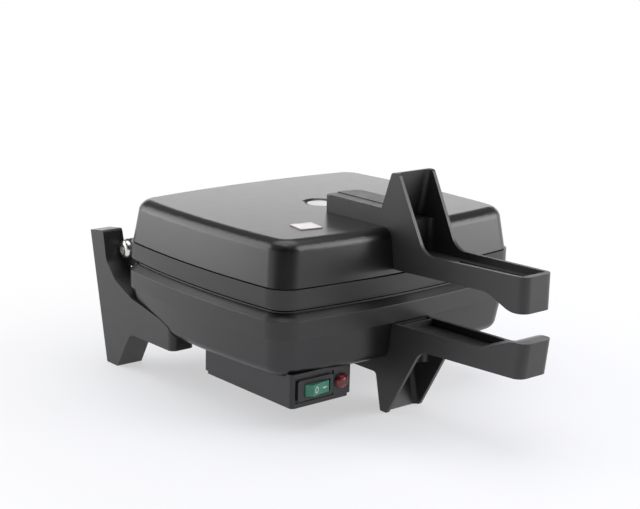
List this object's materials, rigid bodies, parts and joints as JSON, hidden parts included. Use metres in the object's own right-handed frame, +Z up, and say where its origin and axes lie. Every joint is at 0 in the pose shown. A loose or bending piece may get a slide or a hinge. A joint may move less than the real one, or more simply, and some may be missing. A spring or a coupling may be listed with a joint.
{
  "type": "double waffle maker",
  "caption": "Double waffle maker: two hinged cast plates with waffle moulds in black covers, long handles on both halves, rear stands and a switch box underneath.",
  "frame": {"origin": "on the floor, under the middle of the whole object", "axes": "+Z up, -Y towards the handles, +X to the right seen from the handle side; the hinge axis lies along X at the back"},
  "size_m": [0.2338, 0.3574, 0.171],
  "materials": {
    "black_cover": "satin black enamel",
    "cast_plate": "cast, coated black",
    "handle_plastic": "moulded, fine matt grain",
    "box_plastic": "moulded, satin",
    "zinc_steel": "zinc plated",
    "heater_steel": "dull sheathed tube",
    "shield_sheet": "mill finish sheet",
    "brass": "plain brass",
    "pale_disc": "pale satin",
    "label_plate": "blank satin plate",
    "green_rocker": "translucent green",
    "red_lens": "translucent red",
    "clear_lamp": "neon lamp",
    "block_plastic": "moulded block",
    "sensor_steel": "pressed can",
    "lead_cover": "silicone covered"
  },
  "bodies": {
    "base": {"lower_cover": "black_cover", "lower_plate": "cast_plate", "lower_handle": "handle_plastic", "rear_stand_left": "handle_plastic", "rear_stand_right": "handle_plastic", "control_box": "box_plastic", "control_box_cover": "box_plastic", "switch_housing": "box_plastic", "cord_gland": "box_plastic", "hinge_bolts": "zinc_steel", "hinge_nuts": "zinc_steel", "hinge_washers": "zinc_steel", "lower_handle_screws": "zinc_steel", "rear_stand_screws": "zinc_steel", "control_box_screws": "zinc_steel", "lower_nuts": "zinc_steel", "lower_threaded_bar": "zinc_steel", "lower_element_clamp": "zinc_steel", "lower_heating_element": "heater_steel", "lower_heat_shield": "shield_sheet", "switch_terminals": "brass", "terminal_screws": "brass", "indicator_lens": "red_lens", "indicator_lamp": "clear_lamp", "terminal_block": "block_plastic", "thermostat": "sensor_steel", "internal_leads": "lead_cover"},
    "lid": {"upper_cover": "black_cover", "lid_disc": "pale_disc", "blank_label": "label_plate", "upper_plate": "cast_plate", "upper_heating_element": "heater_steel", "upper_element_clamp": "zinc_steel", "upper_heat_shield": "shield_sheet", "upper_nuts": "zinc_steel", "upper_threaded_bar": "zinc_steel", "thermal_fuse": "sensor_steel", "upper_handle": "handle_plastic", "upper_handle_screws": "zinc_steel", "hinge_bushes": "brass"},
    "rocker": {"switch_rocker": "green_rocker"}
  },
  "joints": [
    {"name": "lid_hinge", "type": "hinge", "parent": "base", "child": "lid", "pos_m": [0, 0.14995, 0.088], "axis": [-1, 0, 0], "range_deg": [0, 93]},
    {"name": "rocker_tilt", "type": "hinge", "parent": "base", "child": "rocker", "pos_m": [-0.0767, -0.04875, 0.0294], "axis": [0, 0, -1], "range_deg": [0, 18]}
  ]
}
